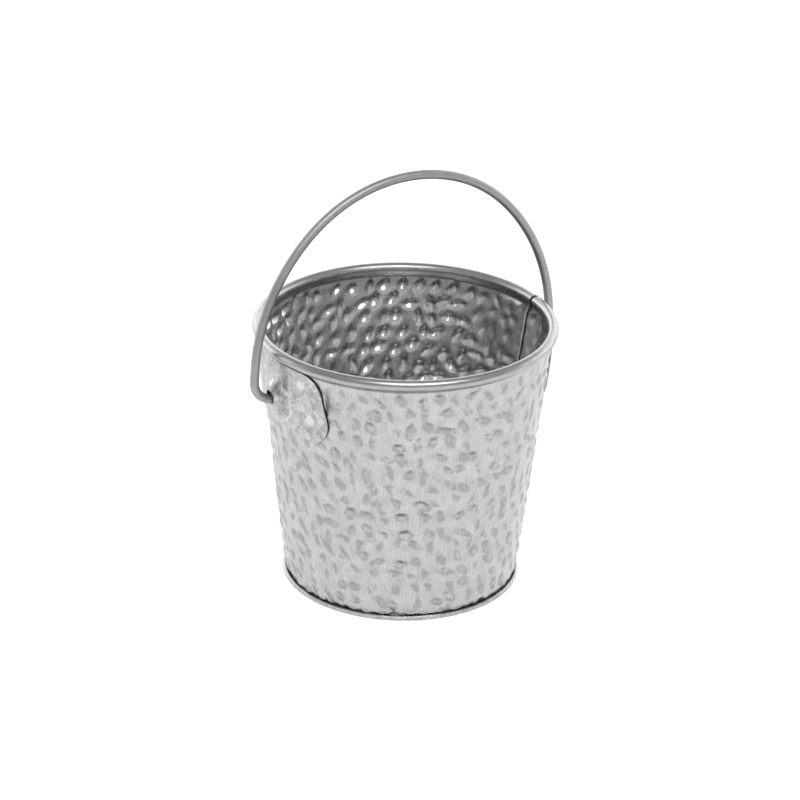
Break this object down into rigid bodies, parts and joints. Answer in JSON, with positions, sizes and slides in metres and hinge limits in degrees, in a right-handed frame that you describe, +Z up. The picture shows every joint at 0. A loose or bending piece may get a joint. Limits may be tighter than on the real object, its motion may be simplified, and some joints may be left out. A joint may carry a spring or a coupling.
{
  "type": "florist bucket",
  "caption": "Small tapered bucket of hammered galvanised sheet with a wired rolled rim, a folded foot ring and a swinging wire bail, for flowers or a potted plant.",
  "frame": {"origin": "centre of the foot ring's underside, on the floor", "axes": "+Z up along the bucket's axis; the bail's hinge runs along X through both ears; the wall's lapped joint is beside the +X ear; +Y is square to the bail"},
  "size_m": [0.136, 0.12, 0.17],
  "materials": {
    "sheet": "galvanised steel sheet, hammered, satin grey with fine vertical rolling streaks",
    "base_sheet": "galvanised steel sheet, satin grey",
    "ear_sheet": "galvanised steel sheet, pressed, satin grey with faint spangle",
    "wire": "drawn steel wire",
    "bail_wire": "galvanised steel wire, satin"
  },
  "bodies": {
    "pail": {"wall": "sheet", "base": "base_sheet", "rim_wire": "wire", "ear_left": "ear_sheet", "ear_right": "ear_sheet"},
    "bail": {"bail": "bail_wire"}
  },
  "joints": [
    {"name": "bail_swing", "type": "hinge", "parent": "pail", "child": "bail", "pos_m": [0, 0, 0.0865], "axis": [1, 0, 0], "range_deg": [-141, 141]}
  ]
}
